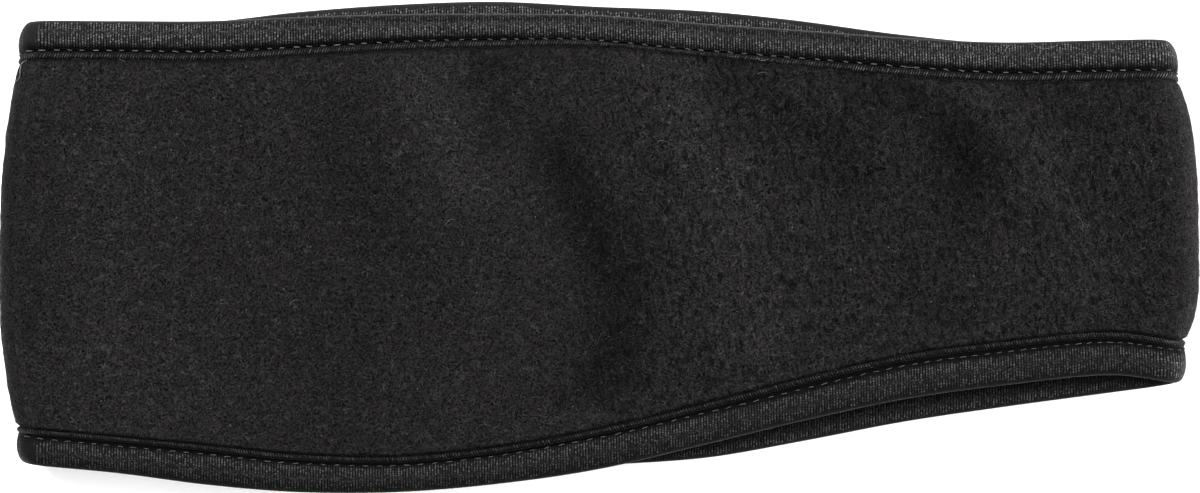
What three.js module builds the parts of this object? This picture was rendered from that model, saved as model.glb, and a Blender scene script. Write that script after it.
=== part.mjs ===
// An ear warmer headband: a closed loop of fleece, bound along both edges, lying flat and folded double.
// Millimetres. X runs from the back fold to the front fold, Y across the band, Z up from the surface.
import * as THREE from 'three';

// The band
const bandLength = 250; // from fold to fold
const bandHeight = 102.3; // over both layers as they lie, lowest to highest edge
const fleeceThickness = 2.2;
const foldRadius = 5.4; // at both folded ends, to the middle of the cloth
const backBulge = 4; // how far the fleece stands out past the bindings at the back fold
const frontBulge = 3.3; // the same at the front fold
const frontLean = 1.9; // how much further the front fold reaches at its lower binding than at its upper one
const backFullness = { lower: 2.8, upper: 1.7 }; // powers: the higher, the fuller that half of the bulge is
const frontFullness = { lower: 3, upper: 3 };

// The binding tape
const bindingWidth = 7.7;
const bindingWall = 0.6;
const bindingRim = 1.3; // thickness of the rounded fold along the band's edge
const fleeceInBinding = 1.5; // the fleece is pressed thinner between the faces of the tape
const clearance = 0.3; // between the tape and the fleece

// The upper layer's own form
const upperSag = 0.9; // how far it sinks between the folds
const sagRun = 38; // the length over which it sinks
const waveHeight = 1.8;
const waveWidth = 6.5;

// How finely the loop is divided
const layerSteps = 28;
const foldSteps = 8;
const rimSteps = 3;

// Edges of the two layers, from the back fold to the front fold. along is a share of bandLength, upper and
// lower are shares of bandHeight, upperTape and lowerTape are shares of bindingWidth.
const topLayer = [
  { along: 0, upper: 0.946, lower: 0.062, upperTape: 1, lowerTape: 0.9 },
  { along: 0.02, upper: 0.952, lower: 0.058, upperTape: 1, lowerTape: 0.9 },
  { along: 0.1, upper: 0.957, lower: 0.039, upperTape: 1, lowerTape: 0.91 },
  { along: 0.175, upper: 0.957, lower: 0.015, upperTape: 0.98, lowerTape: 0.94 },
  { along: 0.25, upper: 0.965, lower: 0, upperTape: 0.97, lowerTape: 0.89 },
  { along: 0.333, upper: 0.971, lower: 0, upperTape: 0.95, lowerTape: 0.84 },
  { along: 0.417, upper: 0.972, lower: 0.017, upperTape: 0.87, lowerTape: 0.93 },
  { along: 0.5, upper: 0.969, lower: 0.047, upperTape: 0.78, lowerTape: 1.04 },
  { along: 0.589, upper: 0.952, lower: 0.092, upperTape: 0.8, lowerTape: 1.08 },
  { along: 0.667, upper: 0.939, lower: 0.141, upperTape: 0.89, lowerTape: 1.1 },
  { along: 0.752, upper: 0.924, lower: 0.189, upperTape: 1, lowerTape: 1.1 },
  { along: 0.837, upper: 0.914, lower: 0.22, upperTape: 1.04, lowerTape: 1.08 },
  { along: 0.922, upper: 0.916, lower: 0.238, upperTape: 1.03, lowerTape: 1.07 },
  { along: 0.98, upper: 0.917, lower: 0.224, upperTape: 1, lowerTape: 1.08 },
  { along: 1, upper: 0.909, lower: 0.225, upperTape: 1, lowerTape: 1.07 },
];
const bottomLayer = [
  { along: 0.02, upper: 0.953, lower: 0.058, upperTape: 1, lowerTape: 0.9 },
  { along: 0.1, upper: 0.956, lower: 0.047, upperTape: 1, lowerTape: 1 },
  { along: 0.175, upper: 0.959, lower: 0.035, upperTape: 1, lowerTape: 1 },
  { along: 0.25, upper: 0.979, lower: 0.022, upperTape: 1, lowerTape: 1 },
  { along: 0.333, upper: 0.994, lower: 0.022, upperTape: 1, lowerTape: 1 },
  { along: 0.417, upper: 1, lower: 0.035, upperTape: 1, lowerTape: 1 },
  { along: 0.5, upper: 0.99, lower: 0.051, upperTape: 1, lowerTape: 1 },
  { along: 0.589, upper: 0.98, lower: 0.07, upperTape: 1, lowerTape: 1 },
  { along: 0.667, upper: 0.96, lower: 0.102, upperTape: 1, lowerTape: 1 },
  { along: 0.752, upper: 0.934, lower: 0.142, upperTape: 1, lowerTape: 1 },
  { along: 0.837, upper: 0.914, lower: 0.173, upperTape: 1, lowerTape: 1 },
  { along: 0.922, upper: 0.91, lower: 0.201, upperTape: 1, lowerTape: 1 },
  { along: 0.98, upper: 0.912, lower: 0.22, upperTape: 1, lowerTape: 1.05 },
];

// Soft ridges and valleys of the upper layer, each along a path: along holds its points as shares of
// bandLength, across as shares of bandHeight. height and width are shares of waveHeight and waveWidth.
const waves = [
  { height: -1, width: 1.1, along: [0.415, 0.467, 0.515, 0.497], across: [0.83, 0.655, 0.39, 0.17] },
  { height: 0.5, width: 1.3, along: [0.334, 0.392], across: [0.83, 0.6] },
  { height: 0.6, width: 1.3, along: [0.542, 0.596, 0.617], across: [0.88, 0.55, 0.29] },
  { height: -0.35, width: 1.2, along: [0.609, 0.692], across: [0.81, 0.655] },
  { height: -0.9, width: 0.9, along: [0.767, 0.805, 0.776], across: [0.79, 0.635, 0.35] },
  { height: 0.7, width: 1.1, along: [0.809, 0.85, 0.87], across: [0.79, 0.62, 0.4] },
  { height: -0.35, width: 1.2, along: [0.875, 0.926], across: [0.75, 0.49] },
  { height: -0.3, width: 1.6, along: [0.284, 0.325], across: [0.73, 0.51] },
  { height: 0.35, width: 2.2, along: [0.1, 0.117], across: [0.53, 0.2] },
];

// One face of the tape from its rounded rim to its inner end. across is a share of the face's width inside
// the rim, wall is a share of bindingWall.
const tapeFace = [
  { across: 0.08, wall: 1 },
  { across: 0.44, wall: 1 },
  { across: 0.65, wall: 0.8 },
  { across: 0.73, wall: 0.45 },
  { across: 0.81, wall: 0.8 },
  { across: 0.92, wall: 0.95 },
  { across: 1, wall: 0.6 },
];

// Columns of the fleece between the two bindings, as shares of the width that shows.
const fleeceColumns = [0, 0.02, 0.06, 0.2, 0.35, 0.5, 0.65, 0.8, 0.94, 0.98, 1];
const riseShare = 0.06; // the share over which the fleece rises level with the tape

const channelHalf = fleeceInBinding / 2 + clearance;
const bindingHalf = channelHalf + bindingWall;
const fleeceHalf = fleeceThickness / 2;
const outerRadius = foldRadius + bindingHalf;
const backCentre = -bandLength / 2 + backBulge + outerRadius;
const frontCentre = bandLength / 2 - frontBulge - outerRadius;

const upwards = Math.PI / 2;
const lerp = THREE.MathUtils.lerp;
const smooth = (value, from, to) => THREE.MathUtils.smoothstep(value, from, to);

// Both layers as one round trip: turn runs from 0 to 1 along the top layer and from 1 to 2 back along the
// bottom.
const roundTrip = [
  ...topLayer.map((row) => ({ ...row, turn: row.along })),
  ...bottomLayer.map((row) => ({ ...row, turn: 2 - row.along })).reverse(),
];

// A smooth closed curve through one column of the round trip (cubic pieces, slopes from the neighbours).
function edgeAt(column, turn) {
  const count = roundTrip.length;
  const row = (i) => {
    const lap = Math.floor(i / count);
    const found = roundTrip[i - lap * count];
    return { turn: found.turn + 2 * lap, value: found[column] };
  };
  let i = 0;
  while (row(i + 1).turn <= turn) i += 1;
  while (row(i).turn > turn) i -= 1;
  const [before, from, to, after] = [row(i - 1), row(i), row(i + 1), row(i + 2)];
  const span = to.turn - from.turn;
  const s = (turn - from.turn) / span;
  const startSlope = ((to.value - before.value) / (to.turn - before.turn)) * span;
  const endSlope = ((after.value - from.value) / (after.turn - from.turn)) * span;
  const s2 = s * s;
  const s3 = s2 * s;
  return (2 * s3 - 3 * s2 + 1) * from.value + (s3 - 2 * s2 + s) * startSlope
    + (3 * s2 - 2 * s3) * to.value + (s3 - s2) * endSlope;
}

// A section stands across the loop: run is its place between the two fold centres, angle is the direction
// that its outer face looks in, seen from the lower edge.
function section(run, angle, turn) {
  const fromEdge = (share) => (share - 0.5) * bandHeight;
  const length = frontCentre - backCentre;
  const sunk = smooth(run * length, 0, sagRun) * smooth((1 - run) * length, 0, sagRun);
  const onTop = angle === upwards ? 1 : 0;
  return {
    run,
    angle,
    onTop,
    lift: -upperSag * sunk * onTop,
    upper: fromEdge(edgeAt('upper', turn)),
    lower: fromEdge(edgeAt('lower', turn)),
    upperTape: bindingWidth * edgeAt('upperTape', turn),
    lowerTape: bindingWidth * edgeAt('lowerTape', turn),
  };
}

// The sections in order: the top layer, the front fold, the bottom layer, the back fold.
function makeSections() {
  const backShare = (backCentre + bandLength / 2) / bandLength;
  const frontShare = (frontCentre + bandLength / 2) / bandLength;
  const steps = (count, make) => Array.from({ length: count }, (_, k) => make(k / count));
  return [
    ...steps(layerSteps, (s) => section(s, upwards, lerp(backShare, frontShare, s))),
    ...steps(foldSteps, (s) => section(1, upwards - s * Math.PI, lerp(frontShare, 2 - frontShare, s))),
    ...steps(layerSteps, (s) => section(1 - s, -upwards, lerp(2 - frontShare, 2 - backShare, s))),
    ...steps(foldSteps, (s) => section(0, -upwards - s * Math.PI, lerp(2 - backShare, 2 + backShare, s))),
  ];
}

// A point of a section: y across the band, out along the section's outer face, bulge as shares of the two
// bulges.
function placed(at, y, out, bulge = { back: 0, front: 0 }) {
  const leanShare = (at.upper - y) / (at.upper - at.lower) - 0.5;
  const back = backCentre - backBulge * bulge.back;
  const front = frontCentre + frontBulge * bulge.front + frontLean * leanShare;
  return new THREE.Vector3(
    lerp(back, front, at.run) + Math.cos(at.angle) * (foldRadius + out),
    y,
    bindingHalf + foldRadius + at.lift + Math.sin(at.angle) * (foldRadius + out),
  );
}

function distanceToWave(x, y, wave) {
  const point = new THREE.Vector3(x, y, 0);
  const corners = wave.along.map((along, i) => new THREE.Vector3(
    (along - 0.5) * bandLength,
    (wave.across[i] - 0.5) * bandHeight,
    0,
  ));
  const distances = corners.slice(1).map((corner, i) => new THREE.Line3(corners[i], corner)
    .closestPointToPoint(point, true, new THREE.Vector3())
    .distanceTo(point));
  return Math.min(...distances);
}

// How far the fleece stands out at a fold, as a share of that fold's bulge: 0 at the bindings, 1 halfway.
function bulgeAt(share, fullness) {
  return 1 - Math.abs(2 * share - 1) ** (share < 0.5 ? fullness.lower : fullness.upper);
}

// Ridges and valleys of the upper layer: each fades as a bell curve away from its path.
function waveAt(x, y) {
  return waves.reduce((sum, wave) => {
    const away = distanceToWave(x, y, wave) / (wave.width * waveWidth);
    return sum + wave.height * waveHeight * Math.exp(-away * away);
  }, 0);
}

// The fleece's section: its outer face from the lower to the upper edge, then its inner face back.
function fleeceRing(at) {
  const lowLip = at.lower + at.lowerTape;
  const highLip = at.upper - at.upperTape;
  const tucked = bindingRim + clearance;
  const rows = [{ y: at.lower + tucked, half: fleeceInBinding / 2, out: 0 }];
  for (const share of fleeceColumns) {
    const y = lerp(lowLip + clearance, highLip - clearance, share);
    const rise = smooth(share, 0, riseShare) * smooth(1 - share, 0, riseShare);
    const x = lerp(backCentre, frontCentre, at.run);
    const inLayer = at.onTop * smooth(at.run, 0, riseShare) * smooth(1 - at.run, 0, riseShare);
    rows.push({
      y,
      half: lerp(fleeceInBinding / 2, fleeceHalf, rise),
      out: (bindingHalf - fleeceHalf) * rise + inLayer * rise * waveAt(x, y),
      bulge: { back: bulgeAt(share, backFullness), front: bulgeAt(share, frontFullness) },
    });
  }
  rows.push({ y: at.upper - tucked, half: fleeceInBinding / 2, out: 0 });
  const face = (side) => rows.map((row) => placed(at, row.y, row.out + side * row.half, row.bulge));
  return [...face(1), ...face(-1).reverse()];
}

// The tape's section, as distances in from the band's edge and out from the middle of the cloth.
function tapeRing(width) {
  const rim = Array.from({ length: rimSteps }, (_, k) => {
    const a = ((k + 0.5) / rimSteps) * (Math.PI / 2);
    return [bindingRim * (1 - Math.cos(a)), bindingHalf * Math.sin(a)];
  });
  const face = tapeFace.map(({ across, wall }) => [
    lerp(bindingRim, width, across),
    channelHalf + bindingWall * wall,
  ]);
  const half = [...rim, ...face, [width, channelHalf], [bindingRim, channelHalf]];
  const mirrored = half.map(([inward, out]) => [inward, -out]).reverse();
  return [...half, ...mirrored];
}

function bindingRing(at, edge) {
  if (edge === 'lower') {
    return tapeRing(at.lowerTape).map(([inward, out]) => placed(at, at.lower + inward, out));
  }
  return tapeRing(at.upperTape).map(([inward, out]) => placed(at, at.upper - inward, out)).reverse();
}

// A closed solid from a closed run of rings with as many points each.
function sweep(rings) {
  const points = rings[0].length;
  const index = [];
  rings.forEach((_, i) => {
    const next = (i + 1) % rings.length;
    for (let j = 0; j < points; j += 1) {
      const k = (j + 1) % points;
      const [a, b, c, d] = [i * points + j, next * points + j, next * points + k, i * points + k];
      index.push(a, b, c, a, c, d);
    }
  });
  const geometry = new THREE.BufferGeometry().setFromPoints(rings.flat());
  geometry.setIndex(index);
  geometry.computeVertexNormals();
  return geometry;
}

const fleeceMaterial = new THREE.MeshStandardMaterial({ color: 0x272627, roughness: 0.95, metalness: 0 });
const tapeMaterial = new THREE.MeshStandardMaterial({ color: 0x343233, roughness: 0.55, metalness: 0 });

function piece(name, rings, material) {
  const mesh = new THREE.Mesh(sweep(rings), material.clone());
  mesh.name = name;
  return mesh;
}

const sections = makeSections();
const headband = new THREE.Group();
headband.add(
  piece('fleece_band', sections.map(fleeceRing), fleeceMaterial),
  piece('upper_binding', sections.map((at) => bindingRing(at, 'upper')), tapeMaterial),
  piece('lower_binding', sections.map((at) => bindingRing(at, 'lower')), tapeMaterial),
);

// The origin is the middle of the box's underside.
const box = new THREE.Box3().setFromObject(headband, true);
const middle = box.getCenter(new THREE.Vector3());
headband.position.set(-middle.x, -middle.y, -box.min.z);

export default headband;
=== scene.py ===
import bpy
import numpy as np
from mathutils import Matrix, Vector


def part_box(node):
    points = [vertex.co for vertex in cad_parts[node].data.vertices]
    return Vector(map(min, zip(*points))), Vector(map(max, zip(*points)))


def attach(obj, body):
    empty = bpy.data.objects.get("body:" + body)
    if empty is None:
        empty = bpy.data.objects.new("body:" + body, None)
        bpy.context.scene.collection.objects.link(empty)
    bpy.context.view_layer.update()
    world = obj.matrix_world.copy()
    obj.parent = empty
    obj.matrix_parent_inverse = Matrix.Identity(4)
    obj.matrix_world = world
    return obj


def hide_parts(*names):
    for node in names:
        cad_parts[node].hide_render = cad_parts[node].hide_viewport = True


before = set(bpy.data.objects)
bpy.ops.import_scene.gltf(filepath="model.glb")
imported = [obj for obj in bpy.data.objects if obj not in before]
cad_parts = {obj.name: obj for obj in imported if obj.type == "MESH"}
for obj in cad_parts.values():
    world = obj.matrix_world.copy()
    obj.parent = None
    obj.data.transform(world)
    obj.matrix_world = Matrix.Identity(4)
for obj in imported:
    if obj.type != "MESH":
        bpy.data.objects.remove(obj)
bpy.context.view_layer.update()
mm = 0.001
print("frame:", ", ".join(sorted(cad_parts)))

# The band: a closed loop of fleece lying flat and folded double, seen from straight above.
# Millimetres, x from the back fold to the front fold, y across the band, z up from the floor.
band = {
    "length": 250.0,  # fold to fold
    "height": 102.3,  # over both layers, lowest to highest edge
    "foldRadius": 5.4,  # to the middle of the cloth
    "bindingHalf": 1.65,  # half the thickness over the binding
    "fleeceHalf": 1.1,
    "backBulge": 4.0,  # fleece standing out past the bindings at the back fold
    "frontBulge": 3.3,
    "frontLean": 1.9,  # the front fold reaches further at its lower binding
    "backLean": 0.4,  # and the back fold too
    "backFullness": (3.0, 2.3),  # powers for the lower and the upper half of the bulge
    "frontFullness": (4.6, 3.2),
    "backShrink": 0.91,
    "bindingWidth": 7.7,
    "upperSag": 0.9,
    "sagRun": 38.0,
    "waveHeight": 1.8,
    "waveWidth": 6.5,
    "fadeShare": 0.06,  # the waves fade out over this share of the layer at each fold
}

# along is a share of the length, upper and lower are shares of the height, the tapes of the binding width
edgeColumns = ("along", "upper", "lower", "upperTape", "lowerTape")
topLayer = np.array([
    (0, 0.944, 0.061, 1.03, 0.97),
    (0.02, 0.956, 0.057, 1.03, 0.97),
    (0.1, 0.957, 0.039, 1.033, 0.975),
    (0.175, 0.957, 0.015, 1.059, 1.06),
    (0.25, 0.965, 0, 1.035, 1.01),
    (0.333, 0.971, 0, 0.963, 0.953),
    (0.417, 0.972, 0.017, 0.893, 0.995),
    (0.5, 0.969, 0.047, 0.832, 1.08),
    (0.589, 0.952, 0.098, 0.87, 1.1),
    (0.667, 0.939, 0.1445, 0.962, 1.14),
    (0.752, 0.924, 0.189, 1.015, 1.178),
    (0.837, 0.914, 0.218, 1.052, 1.168),
    (0.922, 0.918, 0.238, 1.067, 1.148),
    (0.98, 0.919, 0.222, 1.06, 1.14),
    (1, 0.909, 0.225, 1.05, 1.13),
])
bottomLayer = np.array([
    (0.02, 0.956, 0.057, 1.02, 0.97),
    (0.1, 0.957, 0.047, 1, 1),
    (0.175, 0.959, 0.035, 1, 1),
    (0.25, 0.979, 0.022, 1, 1),
    (0.333, 0.994, 0.022, 1, 1),
    (0.417, 1, 0.035, 1, 1),
    (0.5, 0.99, 0.051, 1, 1),
    (0.589, 0.981, 0.067, 1, 1),
    (0.667, 0.962, 0.1, 1, 1),
    (0.752, 0.934, 0.14, 1, 1),
    (0.837, 0.914, 0.171, 1, 1),
    (0.922, 0.91, 0.199, 1.02, 1.04),
    (0.98, 0.912, 0.218, 1.03, 1.1),
])

# Soft ridges and valleys of the upper layer: height and width are shares of waveHeight and waveWidth,
# then the path's points as shares of the length and of the height
waves = [
    (-1, 1.1, (0.415, 0.467, 0.515, 0.497), (0.83, 0.655, 0.39, 0.17)),
    (0.5, 1.3, (0.334, 0.392), (0.83, 0.6)),
    (0.6, 1.3, (0.542, 0.596, 0.617), (0.88, 0.55, 0.29)),
    (-0.35, 1.2, (0.609, 0.692), (0.81, 0.655)),
    (-0.9, 0.9, (0.767, 0.805, 0.776), (0.79, 0.635, 0.35)),
    (0.7, 1.1, (0.809, 0.85, 0.87), (0.79, 0.62, 0.4)),
    (-0.35, 1.2, (0.875, 0.926), (0.75, 0.49)),
    (-0.3, 1.6, (0.284, 0.325), (0.73, 0.51)),
    (0.35, 2.2, (0.1, 0.117), (0.53, 0.2)),
]

outerRadius = band["foldRadius"] + band["bindingHalf"]
backCentre = -band["length"] / 2 + band["backBulge"] + outerRadius
frontCentre = band["length"] / 2 - band["frontBulge"] - outerRadius
layerLength = frontCentre - backCentre
foldLength = np.pi * band["foldRadius"]
loopLength = 2 * layerLength + 2 * foldLength
backShare = (backCentre + band["length"] / 2) / band["length"]
frontShare = (frontCentre + band["length"] / 2) / band["length"]

tripTurns = np.concatenate([topLayer[:, 0], 2 - bottomLayer[::-1, 0]])
tripValues = np.concatenate([topLayer, bottomLayer[::-1]])


def smooth(value, start, end):
    t = np.clip((value - start) / (end - start), 0, 1)
    return t * t * (3 - 2 * t)


def lerp(a, b, t):
    return a + (b - a) * t


# A smooth closed curve through one column of the two tables: cubic pieces, each end's slope is the rise
# from its neighbour before to its neighbour after over their distance
def edgeAt(column, turn):
    turns = np.concatenate([tripTurns - 2, tripTurns, tripTurns + 2])
    values = np.tile(tripValues[:, edgeColumns.index(column)], 3)
    slopes = np.zeros_like(values)
    slopes[1:-1] = (values[2:] - values[:-2]) / (turns[2:] - turns[:-2])
    i = np.searchsorted(turns, turn, side="right") - 1
    span = turns[i + 1] - turns[i]
    s = (turn - turns[i]) / span
    s2 = s * s
    s3 = s2 * s
    start = (2 * s3 - 3 * s2 + 1) * values[i] + (s3 - 2 * s2 + s) * slopes[i] * span
    return start + (3 * s2 - 2 * s3) * values[i + 1] + (s3 - s2) * slopes[i + 1] * span


# Sections across the loop at distances s round it: along the upper layer, round the front fold, back
# along the lower layer, round the back fold. Each has its place in the layer (run), the angle that its
# outer face looks in, and the places of both edges and tapes.
def sectionsAt(s):
    s = np.mod(s, loopLength)
    zones = [s < layerLength, s < layerLength + foldLength, s < 2 * layerLength + foldLength]
    inFront = (s - layerLength) / foldLength
    inBottom = (s - layerLength - foldLength) / layerLength
    inBack = (s - 2 * layerLength - foldLength) / foldLength
    run = np.select(zones, [s / layerLength, np.ones_like(s), 1 - inBottom], 0.0)
    up = np.pi / 2
    angle = np.select(zones, [up + 0 * s, up - inFront * np.pi, -up + 0 * s], -up - inBack * np.pi)
    turn = np.select(
        zones,
        [
            lerp(backShare, frontShare, run),
            lerp(frontShare, 2 - frontShare, inFront),
            lerp(2 - frontShare, 2 - backShare, inBottom),
        ],
        lerp(2 - backShare, 2 + backShare, inBack),
    )
    onTop = zones[0].astype(float)
    sunk = smooth(run * layerLength, 0, band["sagRun"]) * smooth((1 - run) * layerLength, 0, band["sagRun"])
    return {
        "s": s,
        "run": run,
        "angle": angle,
        "turn": turn,
        "onTop": onTop,
        "lift": -band["upperSag"] * sunk * onTop,
        "upper": (edgeAt("upper", turn) - 0.5) * band["height"],
        "lower": (edgeAt("lower", turn) - 0.5) * band["height"],
        "upperTape": band["bindingWidth"] * edgeAt("upperTape", turn),
        "lowerTape": band["bindingWidth"] * edgeAt("lowerTape", turn),
    }


# A point of a section: y across the band, out along the section's outer face, the bulges pushed out at
# the two folds, x a mix of both fold centres by run
def placed(at, y, out, backBulge=0.0, frontBulge=0.0):
    leanShare = (at["upper"] - y) / (at["upper"] - at["lower"]) - 0.5
    back = backCentre - band["backBulge"] * band["backShrink"] * backBulge
    back = back - band["backLean"] * (leanShare + 0.5)
    front = frontCentre + band["frontBulge"] * frontBulge + band["frontLean"] * leanShare
    reach = band["foldRadius"] + out
    x = lerp(back, front, at["run"]) + np.cos(at["angle"]) * reach
    z = band["bindingHalf"] + band["foldRadius"] + at["lift"] + np.sin(at["angle"]) * reach
    return np.stack(np.broadcast_arrays(x, y, z), axis=-1)


def bulgeAt(share, fullness):
    away = np.abs(2 * np.clip(share, 0, 1) - 1)
    return 1 - away ** np.where(share < 0.5, fullness[0], fullness[1])


# Sum of soft bands over the upper layer: each fades as a bell curve with the distance from its path
def bellsAt(bands, unit, x, y):
    total = np.zeros(np.broadcast(x, y).shape)
    for height, width, along, across in bands:
        px = (np.array(along) - 0.5) * band["length"]
        py = (np.array(across) - 0.5) * band["height"]
        nearest = np.full(total.shape, 1e9)
        for x0, y0, x1, y1 in zip(px[:-1], py[:-1], px[1:], py[1:]):
            along = (x - x0) * (x1 - x0) + (y - y0) * (y1 - y0)
            t = np.clip(along / ((x1 - x0) ** 2 + (y1 - y0) ** 2), 0, 1)
            nearest = np.minimum(nearest, np.hypot(x - lerp(x0, x1, t), y - lerp(y0, y1, t)))
        total += height * np.exp(-(nearest / (width * unit)) ** 2)
    return total


# Gradient noise on a lattice that closes round the loop: random slopes at the lattice points, joined by
# smooth steps; stretch makes the cells longer across the band
def softNoise(s, y, cell, seed, stretch=1.0):
    columns = int(round(loopLength / cell))
    rows = 256
    turned = np.random.default_rng(seed).uniform(0, 2 * np.pi, (columns, rows))
    u = np.mod(s, loopLength) / loopLength * columns
    v = y / (cell * stretch) + rows / 2
    i = np.floor(u).astype(int)
    j = np.floor(v).astype(int)
    fu = u - i
    fv = v - j

    def corner(di, dj):
        a = turned[(i + di) % columns, (j + dj) % rows]
        return np.cos(a) * (fu - di) + np.sin(a) * (fv - dj)

    su = fu ** 3 * (fu * (fu * 6 - 15) + 10)
    sv = fv ** 3 * (fv * (fv * 6 - 15) + 10)
    low = lerp(corner(0, 0), corner(1, 0), su)
    high = lerp(corner(0, 1), corner(1, 1), su)
    return lerp(low, high, sv) * 1.5


# A mesh from points in millimetres, four-cornered faces and three-cornered ones
def makePiece(name, points, quads, triangles=None, material=None):
    mesh = bpy.data.meshes.new(name)
    corners = quads.ravel()
    starts = np.arange(len(quads)) * 4
    if triangles is not None:
        starts = np.concatenate([starts, len(corners) + np.arange(len(triangles)) * 3])
        corners = np.concatenate([corners, triangles.ravel()])
    mesh.vertices.add(len(points))
    mesh.vertices.foreach_set("co", (points * mm).astype(np.float32).ravel())
    mesh.loops.add(len(corners))
    mesh.loops.foreach_set("vertex_index", corners.astype(np.int32))
    mesh.polygons.add(len(starts))
    mesh.polygons.foreach_set("loop_start", starts.astype(np.int32))
    mesh.update(calc_edges=True)
    mesh.validate()
    mesh.shade_smooth()
    piece = bpy.data.objects.new(name, mesh)
    bpy.context.scene.collection.objects.link(piece)
    if material is not None:
        mesh.materials.append(material)
    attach(piece, "root")
    return piece


# Four-cornered faces of a grid that closes both round the loop and round each ring
def loopQuads(rings, points):
    i = np.arange(rings)[:, None]
    j = np.arange(points)[None, :]
    nextI = (i + 1) % rings
    nextJ = (j + 1) % points
    around = (i * points + j, nextI * points + j, nextI * points + nextJ, i * points + nextJ)
    return np.stack(np.broadcast_arrays(*around), axis=-1).reshape(-1, 4)


# The same grid's UV map: u per ring and v per ring point, each list one longer than the grid
def setLoopUv(piece, u, v):
    rings = len(u) - 1
    points = len(v) - 1
    cornerU = np.stack([u[:-1], u[1:], u[1:], u[:-1]], axis=-1)
    cornerV = np.stack([v[:-1], v[:-1], v[1:], v[1:]], axis=-1)
    uv = np.empty((rings, points, 4, 2), np.float32)
    uv[..., 0] = cornerU[:, None, :]
    uv[..., 1] = cornerV[None, :, :]
    piece.data.uv_layers.new(name="cloth").data.foreach_set("uv", uv.ravel())


def setAttribute(piece, name, values):
    layer = piece.data.attributes.new(name, "FLOAT", "POINT")
    layer.data.foreach_set("value", np.asarray(values, np.float32).ravel())


# Node helpers: an input is a number, a colour, a vector or another node's output
def feed(tree, socket, value):
    if isinstance(value, bpy.types.NodeSocket):
        tree.links.new(value, socket)
    elif value is not None:
        socket.default_value = value


def addNode(tree, kind, inputs=(), **options):
    made = tree.nodes.new(kind)
    made.location = (200 * len(tree.nodes), 0)
    for name, value in options.items():
        setattr(made, name, value)
    for key, value in dict(inputs).items():
        feed(tree, made.inputs[key], value)
    return made


def calc(tree, operation, a, b=None, c=None, clamp=False):
    made = addNode(tree, "ShaderNodeMath", operation=operation, use_clamp=clamp)
    for socket, value in zip(made.inputs, (a, b, c)):
        feed(tree, socket, value)
    return made.outputs[0]


def times(tree, a, b, clamp=False):
    return calc(tree, "MULTIPLY", a, b, clamp=clamp)


def plus(tree, a, b):
    return calc(tree, "ADD", a, b)


def minus(tree, a, b):
    return calc(tree, "SUBTRACT", a, b)


# Half a cosine wave up and down, 1 where the value is whole and 0 half way between
def cosineWave(tree, value):
    return calc(tree, "MULTIPLY_ADD", calc(tree, "COSINE", times(tree, value, 2 * np.pi)), 0.5, 0.5)


def attribute(tree, name):
    return addNode(tree, "ShaderNodeAttribute", attribute_name=name).outputs["Fac"]


def clothUv(tree):
    found = addNode(tree, "ShaderNodeUVMap", uv_map="cloth").outputs[0]
    return addNode(tree, "ShaderNodeSeparateXYZ", {"Vector": found})


def scaled(tree, colour, factor):
    made = addNode(tree, "ShaderNodeVectorMath", operation="SCALE")
    feed(tree, made.inputs[0], colour)
    feed(tree, made.inputs["Scale"], factor)
    return made.outputs[0]


def ramp(tree, value, fromLow, fromHigh, toLow=0.0, toHigh=1.0):
    made = addNode(tree, "ShaderNodeMapRange", interpolation_type="SMOOTHSTEP")
    for key, number in zip(("Value", "From Min", "From Max", "To Min", "To Max"),
                           (value, fromLow, fromHigh, toLow, toHigh)):
        feed(tree, made.inputs[key], number)
    return made.outputs["Result"]


def mixColors(tree, amount, a, b):
    made = addNode(tree, "ShaderNodeMix", data_type="RGBA")
    for socket, value in ((made.inputs[0], amount), (made.inputs[6], a), (made.inputs[7], b)):
        feed(tree, socket, value)
    return made.outputs[2]


def noise(tree, vector, scale, detail=2.0, roughness=0.5, distortion=0.0):
    given = {"Vector": vector, "Scale": scale, "Detail": detail, "Roughness": roughness}
    given["Distortion"] = distortion
    return addNode(tree, "ShaderNodeTexNoise", given).outputs["Fac"]


def newGroup(name, inputs, outputs):
    group = bpy.data.node_groups.new(name, "ShaderNodeTree")
    for socketName, kind, value in inputs:
        socket = group.interface.new_socket(socketName, in_out="INPUT", socket_type=kind)
        if value is not None:
            socket.default_value = value
    for socketName, kind in outputs:
        group.interface.new_socket(socketName, in_out="OUTPUT", socket_type=kind)
    return group, addNode(group, "NodeGroupInput"), addNode(group, "NodeGroupOutput")


def useGroup(tree, group, **inputs):
    made = addNode(tree, "ShaderNodeGroup", node_tree=group)
    for name, value in inputs.items():
        feed(tree, made.inputs[name], value)
    return made


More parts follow.
